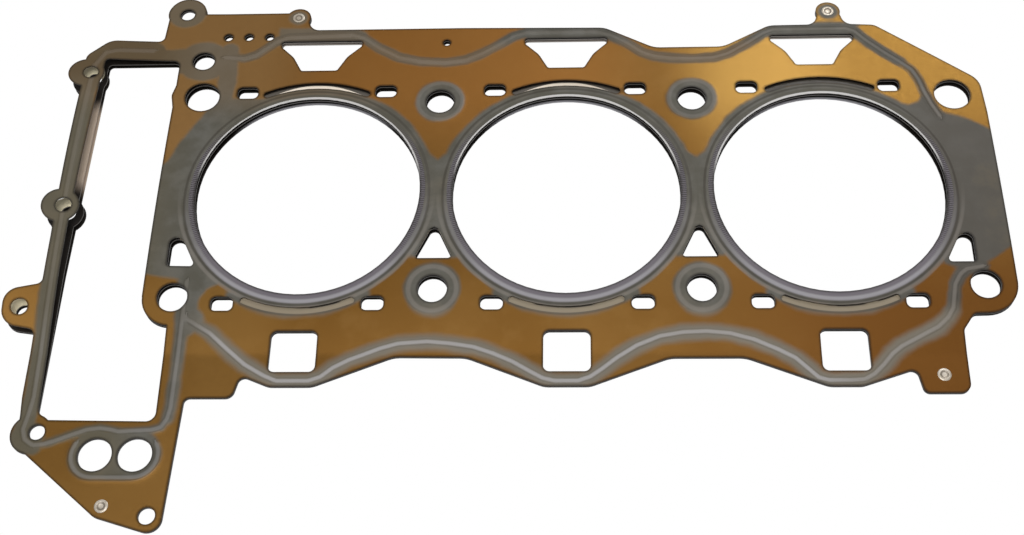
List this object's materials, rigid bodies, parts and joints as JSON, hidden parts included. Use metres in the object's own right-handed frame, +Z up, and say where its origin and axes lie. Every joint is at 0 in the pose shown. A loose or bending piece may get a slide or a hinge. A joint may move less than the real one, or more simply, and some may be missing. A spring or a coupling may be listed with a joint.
{
  "type": "cylinder head gasket",
  "caption": "Multi-layer steel cylinder head gasket for one cylinder bank, with large round bores, bolt and coolant holes, pressed sealing beads and an open chain-case frame at one end.",
  "frame": {"origin": "centre of the middle bore, on the underside of the lower sheet", "axes": "+X along the bank away from the chain case, +Y across the bank, +Z up out of the bench"},
  "size_m": [0.4406, 0.2743, 0.0129],
  "materials": {
    "lower_coating": "satin",
    "carrier_steel": "satin",
    "upper_coating": "satin",
    "rivet_steel": "satin"
  },
  "bodies": {
    "root": {"lower_sheet": "lower_coating", "carrier_sheet": "carrier_steel", "upper_sheet": "upper_coating", "rivet_1": "rivet_steel", "rivet_2": "rivet_steel", "rivet_3": "rivet_steel", "rivet_4": "rivet_steel"}
  },
  "joints": []
}
